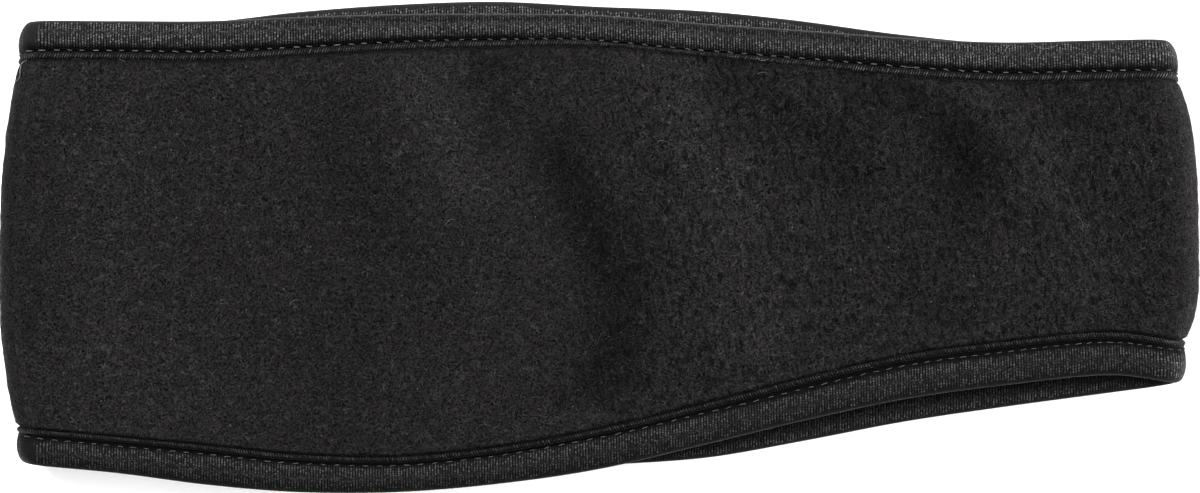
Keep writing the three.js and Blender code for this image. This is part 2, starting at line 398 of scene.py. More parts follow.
# Matted fibres: two nets of curly lines where a noise crosses its middle, over a fine grain
def makeFibreGroup():
    tree, given, result = newGroup(
        "mattedFibres",
        [
            ("Position", "NodeSocketVector", None),
            ("Curl Size", "NodeSocketFloat", 1.3),
            ("Line Width", "NodeSocketFloat", 0.05),
        ],
        [("Fibres", "NodeSocketFloat"), ("Grain", "NodeSocketFloat"), ("Height", "NodeSocketFloat")],
    )
    place = given.outputs["Position"]
    scale = calc(tree, "DIVIDE", 1000.0, given.outputs["Curl Size"])
    lines = []
    for share, distortion in ((1.0, 0.8), (1.7, 0.5), (2.9, 0.3)):
        found = noise(tree, place, times(tree, scale, share), 1.0, 0.5, distortion)
        away = calc(tree, "ABSOLUTE", minus(tree, found, 0.5))
        lines.append(minus(tree, 1.0, ramp(tree, away, 0.0, given.outputs["Line Width"])))
    patches = noise(tree, place, times(tree, scale, 0.6), 2.0)
    first = times(tree, lines[0], ramp(tree, patches, 0.4, 0.65))
    both = calc(tree, "MAXIMUM", first, times(tree, lines[1], 0.7))
    fibres = calc(tree, "MAXIMUM", both, times(tree, lines[2], 0.5))
    grain = noise(tree, place, times(tree, scale, 2.4), 2.0, 0.65)
    tree.links.new(fibres, result.inputs["Fibres"])
    tree.links.new(grain, result.inputs["Grain"])
    feed(tree, result.inputs["Height"], plus(tree, times(tree, fibres, 0.6), grain))
    return tree


# Sparse pale specks of lint
def makeLintGroup():
    tree, given, result = newGroup(
        "lintSpecks",
        [("Position", "NodeSocketVector", None), ("Amount", "NodeSocketFloat", 0.02)],
        [("Mask", "NodeSocketFloat")],
    )
    cells = addNode(tree, "ShaderNodeTexVoronoi", {"Vector": given.outputs["Position"], "Scale": 900.0})
    picked = addNode(tree, "ShaderNodeSeparateColor", {"Color": cells.outputs["Color"]})
    chosen = calc(tree, "LESS_THAN", picked.outputs[0], given.outputs["Amount"])
    near = minus(tree, 1.0, ramp(tree, cells.outputs["Distance"], 0.05, 0.22))
    feed(tree, result.inputs["Mask"], times(tree, chosen, near))
    return tree


fibreGroup = makeFibreGroup()
lintGroup = makeLintGroup()


def newMaterial(name):
    material = bpy.data.materials.new(name)
    material.use_nodes = True
    tree = material.node_tree
    tree.nodes.clear()
    shader = addNode(tree, "ShaderNodeBsdfPrincipled")
    output = addNode(tree, "ShaderNodeOutputMaterial")
    tree.links.new(shader.outputs[0], output.inputs["Surface"])
    return material, tree, shader


def objectPlace(tree):
    return addNode(tree, "ShaderNodeTexCoord").outputs["Object"]


def bump(tree, height, distance, strength=1.0, normal=None):
    made = addNode(tree, "ShaderNodeBump", {"Height": height, "Distance": distance, "Strength": strength})
    feed(tree, made.inputs["Normal"], normal)
    return made.outputs[0]


fleeceFinish = {
    # the darkest colour: the ground between the fibres, and the painted shade in the furrows
    "deep": (0.0008, 0.0008, 0.0008, 1),
    "warmPile": (0.011, 0.0092, 0.01, 1),
    "coolPile": (0.0088, 0.0091, 0.0093, 1),
    "fibre": (0.0425, 0.0405, 0.0412, 1),
    "lint": (0.075, 0.072, 0.07, 1),
    "lintAmount": 0.022,
    "fibreShare": 0.6,
    "roughness": 0.95,
    "specular": 0.02,
    "sheen": 0.06,
    "sheenRoughness": 0.25,
    "sheenTint": (0.9, 0.9, 0.9, 1),
    "bumpDepth": 0.00016,  # metres
    "curlSize": 1.1,
    "pitScale": 1150.0,  # short furrows between the tufts, with painted shade in them
    "pitLength": 2.7,
    "pitLean": 0.2,
    "pitRamp": (0.52, 0.36),
    "pitShade": 0.7,
    "paintedLipShade": 0.06,  # painted shade where it goes in under the lip
    "paintedLipShadeRun": 1.0,
    # painted highlight added towards the front fold and painted shade at the back one: share, then cosines
    # of its angle
    "paintedFrontFoldHighlight": ((0.6, 0.4, 0.85), (0.9, 0.88, 1.0)),
    "paintedBackFoldShade": (0.45, 0.42, 0.62),
    # painted shade and highlight bands over the upper layer's soft folds: share of tone, width in mm, then
    # the path's points as shares
    "paintedShadingAndTone": (
        (-0.3, 5, (0.405, 0.415), (0.83, 0.73)),
        (0.3, 8, (0.36, 0.378, 0.392), (0.82, 0.72, 0.61)),
        (-0.2, 8, (0.288, 0.304, 0.329), (0.737, 0.635, 0.513)),
        (-0.46, 6.5, (0.467, 0.49, 0.515, 0.512, 0.5), (0.676, 0.564, 0.411, 0.319, 0.217)),
        (0.28, 9, (0.55, 0.575, 0.599, 0.617, 0.624), (0.89, 0.737, 0.564, 0.431, 0.309)),
        (-0.25, 8, (0.613, 0.659, 0.7), (0.818, 0.737, 0.665)),
        (-0.34, 8, (0.742, 0.776, 0.8), (0.818, 0.768, 0.665)),
        (-0.2, 9, (0.8, 0.78, 0.767), (0.665, 0.553, 0.39)),
        (0.22, 6.5, (0.796, 0.834, 0.85), (0.828, 0.737, 0.665)),
        (0.12, 16, (0.834, 0.867), (0.492, 0.39)),
        (-0.14, 18, (0.884, 0.959), (0.757, 0.431)),
        (0.1, 13, (0.092, 0.108), (0.839, 0.186)),
        (-0.12, 8, (0.03, 0.033), (0.695, 0.35)),
        (-0.1, 13, (0.284, 0.309), (0.329, 0.085)),
        (-0.08, 34, (0.1, 0.33), (0.65, 0.4)),
    ),
}


def makeFleeceMaterial():
    material, tree, shader = newMaterial("blackFleece")
    place = objectPlace(tree)
    matted = useGroup(tree, fibreGroup, **{"Position": place, "Curl Size": fleeceFinish["curlSize"]})
    lint = useGroup(tree, lintGroup, **{"Position": place, "Amount": fleeceFinish["lintAmount"]})
    grain = ramp(tree, matted.outputs["Grain"], 0.36, 0.68)
    mottle = ramp(tree, noise(tree, place, 110.0, 3.0), 0.3, 0.7, 0.95, 1.05)
    furrow = attribute(tree, "furrow")
    lean = addNode(
        tree,
        "ShaderNodeMapping",
        {
            "Vector": place,
            "Rotation": (0.0, 0.0, fleeceFinish["pitLean"]),
            "Scale": (1.0, fleeceFinish["pitLength"], 1.0),
        },
        vector_type="TEXTURE",
    )
    pits = ramp(tree, noise(tree, lean.outputs[0], fleeceFinish["pitScale"], 1.0), *fleeceFinish["pitRamp"])
    hollow = times(tree, pits, furrow)
    warmth = ramp(tree, noise(tree, place, 330.0, 1.0), 0.38, 0.62)
    pile = mixColors(tree, warmth, fleeceFinish["coolPile"], fleeceFinish["warmPile"])
    ground = mixColors(tree, grain, fleeceFinish["deep"], pile)
    fibres = times(tree, matted.outputs["Fibres"], fleeceFinish["fibreShare"])
    lined = mixColors(tree, fibres, ground, fleeceFinish["fibre"])
    specked = mixColors(tree, lint.outputs["Mask"], lined, fleeceFinish["lint"])
    # painted shade in the furrows of the pile: they are mixed towards the darkest colour
    paintedFurrowShade = times(tree, hollow, fleeceFinish["pitShade"], clamp=True)
    shaded = mixColors(tree, paintedFurrowShade, specked, fleeceFinish["deep"])
    # the base colour is scaled by painted shading: shade and highlight bands over the folds, lighter
    # towards the front fold, darker round the back one and along the lips, with random tone
    paintedShadingAndTone = attribute(tree, "paintedShadingAndTone")
    feed(tree, shader.inputs["Base Color"], scaled(tree, shaded, times(tree, mottle, paintedShadingAndTone)))
    shader.inputs["Roughness"].default_value = fleeceFinish["roughness"]
    shader.inputs["Specular IOR Level"].default_value = fleeceFinish["specular"]
    shader.inputs["Sheen Weight"].default_value = fleeceFinish["sheen"]
    shader.inputs["Sheen Roughness"].default_value = fleeceFinish["sheenRoughness"]
    shader.inputs["Sheen Tint"].default_value = fleeceFinish["sheenTint"]
    raised = minus(tree, matted.outputs["Height"], times(tree, hollow, 0.9))
    feed(tree, shader.inputs["Normal"], bump(tree, raised, fleeceFinish["bumpDepth"]))
    return material


fleece = {
    "topStep": 0.5,
    "bottomStep": 1.5,
    "edgeRows": (-0.2, 0.0, 0.12, 0.28, 0.46, 0.68, 0.95, 1.35, 1.9, 2.6, 3.4),  # distances from the lip
    "middleRows": 87,
    "innerRows": 9,
    "tuckedHalf": 0.55,  # pressed thin between the faces of the tape
    "tuckedIn": 1.7,  # where its hidden edge stands, from the band's edge
    "lipGap": 0.06,
    "riseRun": 0.6,  # swells up to its full thickness over this distance from the lip
    # cell, height, seed, stretch
    "lumps": ((1.7, 0.09, 11, 1.0), (3.2, 0.09, 12, 1.0), (9.0, 0.12, 13, 1.2)),
    "furrowCell": 1.1,  # furrows across the band in the brushed pile
    "furrowStretch": 3.0,
    "furrowLean": 0.22,
    "furrowDepth": 0.13,
    "furrowSeed": 21,
    "furrowsFrom": (0.42, 0.56),  # shares of the upper layer between which they set in
    "seam": {"angle": 166.0, "width": 0.5, "depth": 0.45},  # centre back, degrees round the fold
}


def seamAt(at):
    seam = fleece["seam"]
    turned = np.mod(np.degrees(at["angle"]), 360)
    away = (turned - seam["angle"]) * np.pi / 180 * outerRadius
    return np.where(at["run"] < 1e-6, np.exp(-(away / seam["width"]) ** 2), 0.0)


# 1 where the outer face looks up, 0 where it looks down
def aboveAt(at):
    return smooth(np.sin(at["angle"]), -0.3, 0.3)


# Painted shading and tone of the pile: painted shade and highlight bands over the upper layer's folds, a
# slow random change of tone over the lower one, a painted highlight towards the front fold, painted shade
# round the back one, and painted shade along the lips
def paintedShadingAndToneAt(at, y):
    x = lerp(backCentre, frontCentre, at["run"])
    below = 0.3 * softNoise(at["s"], y, 30.0, 14)
    tone = 1 + lerp(below, bellsAt(fleeceFinish["paintedShadingAndTone"], 1.0, x, y), aboveAt(at))
    towards = np.cos(at["angle"])
    # painted highlight towards the front fold, then painted shade round the back fold
    for share, start, end in fleeceFinish["paintedFrontFoldHighlight"]:
        tone = tone + share * smooth(towards, start, end)
    share, start, end = fleeceFinish["paintedBackFoldShade"]
    tone = tone * (1 - share * smooth(-towards, start, end))
    # painted shade along the lips, where the fleece goes in under them
    fromLip = np.minimum(y - at["lower"] - at["lowerTape"], at["upper"] - at["upperTape"] - y)
    return tone * lerp(fleeceFinish["paintedLipShade"], 1.0, smooth(fromLip, 0.15, fleeceFinish["paintedLipShadeRun"]))


# Furrows of the pile where they set in, shallower and deeper by soft noise that is drawn out across the
# band and leans towards the back
def furrowAt(at, y):
    start, end = fleece["furrowsFrom"]
    leaning = at["s"] + fleece["furrowLean"] * y
    shape = softNoise(leaning, y, fleece["furrowCell"], fleece["furrowSeed"], fleece["furrowStretch"])
    return at["onTop"] * smooth(at["run"], start, end) * lerp(0.45, 1.0, smooth(shape, -0.25, 0.5))


# The fleece's outer (side 1) or inner (side -1) face at sections and heights y: the middle of the cloth
# moves out as it swells, then come the waves and the matted lumps, and on the outer face furrows and seam
def fleeceFace(at, y, side):
    low = at["lower"] + at["lowerTape"] + fleece["lipGap"]
    high = at["upper"] - at["upperTape"] - fleece["lipGap"]
    share = (y - low) / (high - low)
    rise = smooth(y - low, -0.45, fleece["riseRun"]) * smooth(high - y, -0.45, fleece["riseRun"])
    x = lerp(backCentre, frontCentre, at["run"])
    fade = smooth(at["run"], 0, band["fadeShare"]) * smooth(1 - at["run"], 0, band["fadeShare"])
    inside = smooth(y - low, 0, 6) * smooth(high - y, 0, 6)
    wave = band["waveHeight"] * bellsAt(waves, band["waveWidth"], x, y)
    middle = (band["bindingHalf"] - band["fleeceHalf"]) * rise + at["onTop"] * fade * inside * wave
    half = lerp(fleece["tuckedHalf"], band["fleeceHalf"], rise)
    relief = np.zeros(np.broadcast(x, y).shape)
    for cell, height, seed, stretch in fleece["lumps"]:
        relief = relief + height * softNoise(at["s"], y, cell, seed, stretch)
    if side > 0:
        relief = relief - fleece["furrowDepth"] * furrowAt(at, y)
        relief = relief - fleece["seam"]["depth"] * seamAt(at)
    resting = np.where(np.sin(at["angle"]) < -0.7, -1.0, 1.0)  # nothing stands below the floor
    relief = np.where(resting * side < 0, np.minimum(relief, 0) - 0.05, relief)
    out = middle + side * half + side * relief * rise
    return placed(at, y, out, bulgeAt(share, band["backFullness"]), bulgeAt(share, band["frontFullness"]))


def fleeceColumns():
    fine = np.arange(0, layerLength + foldLength, fleece["topStep"])
    coarse = np.arange(fine[-1] + fleece["bottomStep"], 2 * layerLength + foldLength, fleece["bottomStep"])
    last = np.arange(coarse[-1] + fleece["topStep"], loopLength - fleece["topStep"] / 2, fleece["topStep"])
    return np.concatenate([fine, coarse, last])


def fleeceRows(at, middleCount):
    low = at["lower"] + at["lowerTape"] + fleece["lipGap"]
    high = at["upper"] - at["upperTape"] - fleece["lipGap"]
    near = np.array(fleece["edgeRows"])[None, :]
    between = np.linspace(0, 1, middleCount + 2)[None, 1:-1]
    middle = lerp(low + near[:, -1:], high - near[:, -1:], between)
    hidden = fleece["tuckedIn"]
    rows = [at["lower"] + hidden, low + near, middle, high - near[:, ::-1], at["upper"] - hidden]
    return np.concatenate(rows, axis=1)


def makeFleece(material):
    at = sectionsAt(fleeceColumns()[:, None])
    outerY = fleeceRows(at, fleece["middleRows"])
    innerY = fleeceRows(at, fleece["innerRows"])[:, ::-1]
    points = np.concatenate([fleeceFace(at, outerY, 1), fleeceFace(at, innerY, -1)], axis=1)
    rings, ring = points.shape[:2]
    points = points.reshape(-1, 3) + shift
    piece = makePiece("fleece_cloth", points, loopQuads(rings, ring), material=material)
    ringY = np.concatenate([outerY, innerY], axis=1)
    setAttribute(piece, "furrow", furrowAt(at, ringY))
    setAttribute(piece, "paintedShadingAndTone", paintedShadingAndToneAt(at, ringY))
    width = (at["upper"] - at["lower"])[:, 0]
    area = np.sum((width[1:] + width[:-1]) / 2 * np.diff(at["s"][:, 0])) * mm * mm
    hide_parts("fleece_band")
    print("fleece:", rings, "sections,", ring, "points round each, flat area", round(area, 4))
    return piece, area


# The part stands with its box's middle over the origin, so the same shift is read off the frame
def frameShift():
    at = sectionsAt(fleeceColumns()[:, None])
    share = np.linspace(0, 1, 60)[None, :]
    low = at["lower"] + at["lowerTape"]
    high = at["upper"] - at["upperTape"]
    out = band["bindingHalf"]
    bulges = (bulgeAt(share, band["backFullness"]), bulgeAt(share, band["frontFullness"]))
    points = placed(at, lerp(low, high, share), out, *bulges)
    lowest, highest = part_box("fleece_band")
    middle = (lowest.x + highest.x) / 2 / mm
    return np.array([middle - (points[..., 0].min() + points[..., 0].max()) / 2, 0.0, 0.0])


shift = frameShift()
print("shift from the frame, mm:", np.round(shift, 3))

fleeceMaterial = makeFleeceMaterial()
fleeceCloth, fleeceArea = makeFleece(fleeceMaterial)

tape = {
    "step": 0.62,
    "padSides": 2.5,  # power of the pad's rounded section: 2 is an ellipse, more is squarer
    "foldPadSides": 1.9,
    "backStretch": 0.85,  # how far the ribs are stretched smooth where the tape turns over at each fold
    "frontStretch": 0.1,
    "padRaise": 0.25,  # the pad's crown over the upper layer
    "valleyHalf": 0.98,
    "foldValleyHalf": 1.36,  # round the folds the valley is pulled nearly flat
    "lipHalf": 1.42,
    "foldLipHalf": 1.6,
    "lipEnd": 0.85,
    "wall": 0.45,
    "insideRim": 0.7,
    "mouth": 0.62,  # half the opening of the channel at its mouth
    "padPoints": 19,
    "valleyPoints": 4,
    "lipPoints": 8,
    "channelPoints": 6,
    "ribPitch": 0.58,
    "wobble": 0.10,
    "pucker": 0.13,
}

# Widths of the valley and the lip, the stitches' pitch and how deep each stitch scallops the pad, in mm,
# over turns of the loop: 0 to 1 along the upper layer from the back, 1 to 2 along the lower layer
seamlines = {
    "upper": {
        "turn": (0, 0.1, 0.18, 0.28, 0.38, 0.475, 0.53, 0.58, 0.68, 0.73, 0.9, 1, 2),
        "valley": (0.56, 0.59, 0.58, 0.42, 0.46, 0.36, 0.4, 0.42, 0.5, 0.56, 0.54, 0.54, 0.55),
        "lip": (1.2, 1.22, 1.27, 1.25, 1.19, 1.04, 0.6, 0.65, 1.19, 1.27, 1.3, 1.35, 1.25),
        "pitch": (2.7, 2.75, 2.8, 2.85, 2.9, 2.95, 2.95, 3.0, 3.0, 3.0, 3.1, 3.0, 3.0),
        "scallop": (0.04,) * 13,
    },
    "lower": {
        "turn": (0, 0.04, 0.1, 0.18, 0.23, 0.28, 0.33, 0.43, 0.475)
        + (0.525, 0.58, 0.63, 0.68, 0.73, 0.83, 0.97, 1.05, 2),
        "valley": (0.5, 0.8, 0.94, 0.75, 0.77, 0.73, 0.69, 0.71, 0.65)
        + (0.77, 0.85, 1.04, 1.15, 1.05, 1.0, 0.8, 0.6, 0.5),
        "lip": (0.98, 0.98, 0.92, 1.06, 1.1, 1.0, 1.13, 1.06, 1.02)
        + (1.1, 1.04, 1.15, 1.08, 1.15, 1.15, 1.2, 1.2, 1.2),
        "pitch": (2.7, 2.7, 2.7, 2.8, 2.85, 2.9, 2.9, 2.9, 2.9)
        + (2.9, 2.9, 2.85, 2.75, 2.65, 2.45, 1.95, 2.6, 2.8),
        "scallop": (0.14, 0.18, 0.2, 0.16, 0.12, 0.09, 0.06, 0.05, 0.05, 0.04) + (0.03,) * 7 + (0.08,),
    },
}


def seamlineAt(edge, name, turn):
    rows = seamlines[edge]
    return np.interp(np.mod(turn, 2), rows["turn"], rows[name])


# Distances round the loop of the stitches along one edge: the pitch is summed up until each whole stitch
def stitchPlaces(edge):
    s = np.linspace(0, loopLength, 4000)
    density = 1 / seamlineAt(edge, "pitch", sectionsAt(s)["turn"])
    count = np.concatenate([[0], np.cumsum((density[1:] + density[:-1]) / 2 * np.diff(s))])
    whole = int(round(count[-1]))
    return s, count / count[-1] * whole, whole


def stitchPhase(edge, s):
    places, count, whole = stitchPlaces(edge)
    return np.interp(np.mod(s, loopLength), places, count)


# 1 on the flat layers, falling to 0 round the folds
def flatAt(at):
    return smooth(np.abs(np.sin(at["angle"])), 0.55, 0.95)


# Distance in from the band's edge and half the thickness of the tape's outer skin. v runs 0 to 1 over the
# pad, to 2 over the valley, to 3 over the lip. The pad is a squared ellipse that stops at the valley's
# depth, the valley a half wave down, the lip a rounded roll.
def tapeSkin(edge, at, v, side):
    width = at[edge + "Tape"]
    valley = seamlineAt(edge, "valley", at["turn"])
    lip = seamlineAt(edge, "lip", at["turn"])
    phase = stitchPhase(edge, at["s"]) * 2 * np.pi
    hole = 0.5 + 0.5 * np.cos(phase)
    scallop = seamlineAt(edge, "scallop", at["turn"]) * hole
    padEnd = width - valley - lip - scallop
    taut = 1 - flatAt(at)
    n = lerp(tape["padSides"], tape["foldPadSides"], taut)
    faceUp = at["onTop"] * (side > 0)
    soft = softNoise(at["s"], 0 * at["s"] + 40 * side, 14.0, 31 if edge == "upper" else 32)
    crown = band["bindingHalf"] + tape["padRaise"] * faceUp - tape["wobble"] * np.abs(soft)
    valleyFloor = lerp(tape["valleyHalf"], tape["foldValleyHalf"], taut)
    lipTop = lerp(tape["lipHalf"], tape["foldLipHalf"], taut)
    lastAngle = np.pi - np.arcsin((valleyFloor / crown) ** (n / 2))
    turned = np.clip(v, 0, 1) * lastAngle
    leaning = np.sign(np.cos(turned)) * np.abs(np.cos(turned)) ** (2 / n)
    fullReach = 2 * padEnd / (1 - np.sign(np.cos(lastAngle)) * np.abs(np.cos(lastAngle)) ** (2 / n))
    padIn = fullReach / 2 * (1 - leaning)
    padHalf = crown * np.abs(np.sin(turned)) ** (2 / n)
    padHalf = padHalf - tape["pucker"] * smooth(v, 0.6, 0.97) * hole * (v <= 1)
    inValley = np.clip(v - 1, 0, 1)
    valleyIn = padEnd + (valley + scallop) * inValley
    valleyHalf = valleyFloor - tape["pucker"] * hole * (1 - inValley) - 0.12 * np.sin(np.pi * inValley)
    inLip = np.clip(v - 2, 0, 1)
    roll = np.sin(np.pi * inLip ** 0.85) ** 0.6
    lipHalf = valleyFloor + (lipTop - valleyFloor) * roll - (valleyFloor - tape["lipEnd"]) * inLip ** 3
    lipIn = width - lip + lip * inLip
    inward = np.where(v <= 1, padIn, np.where(v <= 2, valleyIn, lipIn))
    return inward, np.where(v <= 1, padHalf, np.where(v <= 2, valleyHalf, lipHalf))


def tapeV():
    pad = np.linspace(0, 1, tape["padPoints"] + 1)
    valley = np.linspace(1, 2, tape["valleyPoints"] + 1)[1:]
    lip = np.linspace(2, 3, tape["lipPoints"] + 1)[1:]
    return np.concatenate([pad, valley, lip])


# The same places for the pattern, where the pad's part is a share of its true width
def patternV():
    at = sectionsAt(np.linspace(0, loopLength, 50)[:, None])
    v = tapeV()
    inward = tapeSkin("lower", at, v[None, :], -1)[0].mean(axis=0)
    onPad = v <= 1
    return np.where(onPad, inward / inward[onPad][-1], v)


def placeTape(edge, at, inward, out):
    y = at["lower"] + inward if edge == "lower" else at["upper"] - inward
    return placed(at, y, out)


# The tape's whole ring: the outer face in to the lip, the channel out to the rim and back, and the inner
# face out to the rim again
def tapeRing(edge, at):
    v = tapeV()[None, :]
    outerIn, outerHalf = tapeSkin(edge, at, v, 1)
    innerIn, innerHalf = tapeSkin(edge, at, v, -1)
    inside = np.linspace(0, 1, tape["channelPoints"])[None, :]
    width = at[edge + "Tape"]
    channelIn = lerp(width - 0.08, tape["insideRim"], inside)
    widening = band["bindingHalf"] - tape["wall"] - tape["mouth"]
    channelHalf = tape["mouth"] + 0 * inside + widening * smooth(inside, 0.35, 0.6)
    channelHalf = channelHalf * (1 - smooth(inside, 0.85, 1.02))
    halves = [
        placeTape(edge, at, outerIn, outerHalf),
        placeTape(edge, at, channelIn, channelHalf),
        placeTape(edge, at, channelIn[:, ::-1][:, 1:], -channelHalf[:, ::-1][:, 1:]),
        placeTape(edge, at, innerIn[:, :0:-1], -innerHalf[:, :0:-1]),
    ]
    ringV = [patternV(), 3 + inside[0], 3 + inside[0, ::-1][1:], patternV()[:0:-1]]
    points = np.concatenate(halves, axis=1)
    values = np.concatenate([*ringV, [0.0]])
    tone = tapePaintedShadingAt(edge, at, points[..., 1], values[:-1], np.arange(len(values) - 1) < len(values) // 2)
    if edge == "upper":
        return points[:, ::-1], values[::-1], tone[:, ::-1]
    return points, values, tone


# Painted highlights and shade over the tapes, as shares of the pad's width or places along the loop
tapePaintedShading = {
    "upper": {
        "rim": ((0, 2), (1.3, 1.3)),  # painted highlight line at the very rim: turns of the loop, then tones added
        "band": (0.6, 0.04, 0.09, 0.24, 0.34),  # dull band beside it
        "bandTurn": ((0, 0.2, 0.27, 0.7, 0.79, 2), (0.12, 0.12, 1, 1, 0.12, 0.12)),
        # painted shade at the pad's foot beside the stitch valley: where it sets in, then how deep along
        # the loop
        "foot": ((0.66, 0.93), (0.66, 0.93)),
        "footDepth": ((0, 0.42, 0.48, 0.6, 0.7, 2), (0.97, 0.97, 0.6, 0.6, 0.97, 0.97)),
        # painted highlight towards the front fold, painted shade towards the back fold, and painted light
        # over the faces below
        "paintedFrontEndLight": 0.6,
        "paintedBackEndShade": 0.15,
        "below": 1.25,
    },
    "lower": {
        "rim": ((0, 0.2, 0.28, 0.45, 0.6, 2), (0.1, 0.1, 1.2, 1.0, 0.8, 0.8)),
        "band": (0.35, 0.08, 0.18, 0.3, 0.5),
        "bandTurn": ((0, 0.55, 0.62, 2), (1, 1, 0.4, 0.4)),
        "foot": ((0.86, 1.0), (0.78, 0.95)),
        "footDepth": ((0, 2), (0.97, 0.97)),
        "paintedFrontEndLight": 1.5,
        "paintedBackEndShade": 0.5,
        "below": 1.35,
    },
}


# Painted shading of the tape's skin: a painted highlight line at the rim with a dull band beside it,
# painted shade at the pad's foot, a painted highlight towards the front fold and painted shade towards the
# back one, and on the lower layer's inner side a painted shadow of the upper layer's edge that lightens
# away from it
def tapePaintedShadingAt(edge, at, y, v, outer):
    shades = tapePaintedShading[edge]
    rim = 1 - smooth(v, 0.015, 0.09)
    share, *window = shades["band"]
    dull = share * smooth(v, *window[:2]) * (1 - smooth(v, *window[2:]))
    dull = dull * np.interp(at["turn"], *shades["bandTurn"])
    footStart, footEnd = (lerp(a, b, smooth(at["turn"], 0.5, 0.62)) for a, b in zip(*shades["foot"]))
    foot = 1 - np.interp(at["turn"], *shades["footDepth"]) * smooth(v, footStart, footEnd) * (v < 1.5)
    towards = np.cos(at["angle"])
    ends = 1 + shades["paintedFrontEndLight"] * smooth(towards, 0.1, 0.8)
    ends = ends - shades["paintedBackEndShade"] * smooth(-towards, 0.4, 0.7)
    above = (1 + np.interp(at["turn"], *shades["rim"]) * rim) * (1 - dull) * foot * ends
    inner = shades["below"] + rim
    # painted shadow of the upper layer's edge over the lower layer's inner side
    if edge == "lower":
        cover = edgeAt("lower", lerp(backShare, frontShare, at["run"])) - 0.5
        inner = 0.35 + shades["below"] * smooth(cover * band["height"] - y, 0.3, 3.2) + 1.3 * rim
    below = np.where(outer, 1 + rim, inner)
    return lerp(below, above, aboveAt(at))


tapeFinish = {
    "groove": (0.0006, 0.0006, 0.0006, 1),
    "rib": (0.0175, 0.0168, 0.0171, 1),
    "paintedGlint": (0.14, 0.137, 0.136, 1),
    # the valley beside the stitches is painted near black: painted shade
    "valley": (0.0008, 0.0008, 0.0008, 1),
    "rim": (0.0075, 0.0073, 0.0074, 1),
    "braidDark": (0.0008, 0.0008, 0.0008, 1),
    "braidLight": (0.086, 0.084, 0.083, 1),
    "loops": 12.0,  # knitted loops over the pad's width
    "sheen": 0.1,
    "sheenRoughness": 0.22,
    "lowerPaintedShade": 0.53,  # the lower binding painted darker: painted shade
    "sparkleScale": 3000.0,
    "roughness": 0.65,
    "shineRoughness": -0.2,  # added where a loop shines
    "specular": 0.04,
    "bumpDepth": 0.00013,  # metres
    "ragged": 0.1,  # how far each rib's ends wander, in shares of the pad's width
    "smoothRim": (0.12, 0.22),  # shares of the pad's width over which the ribs set in
    "upperBand": (0.36, 0.52),  # where the first band of painted glints fades
    "lowerBand": (0.52, 0.66),  # where the second one sets in
}


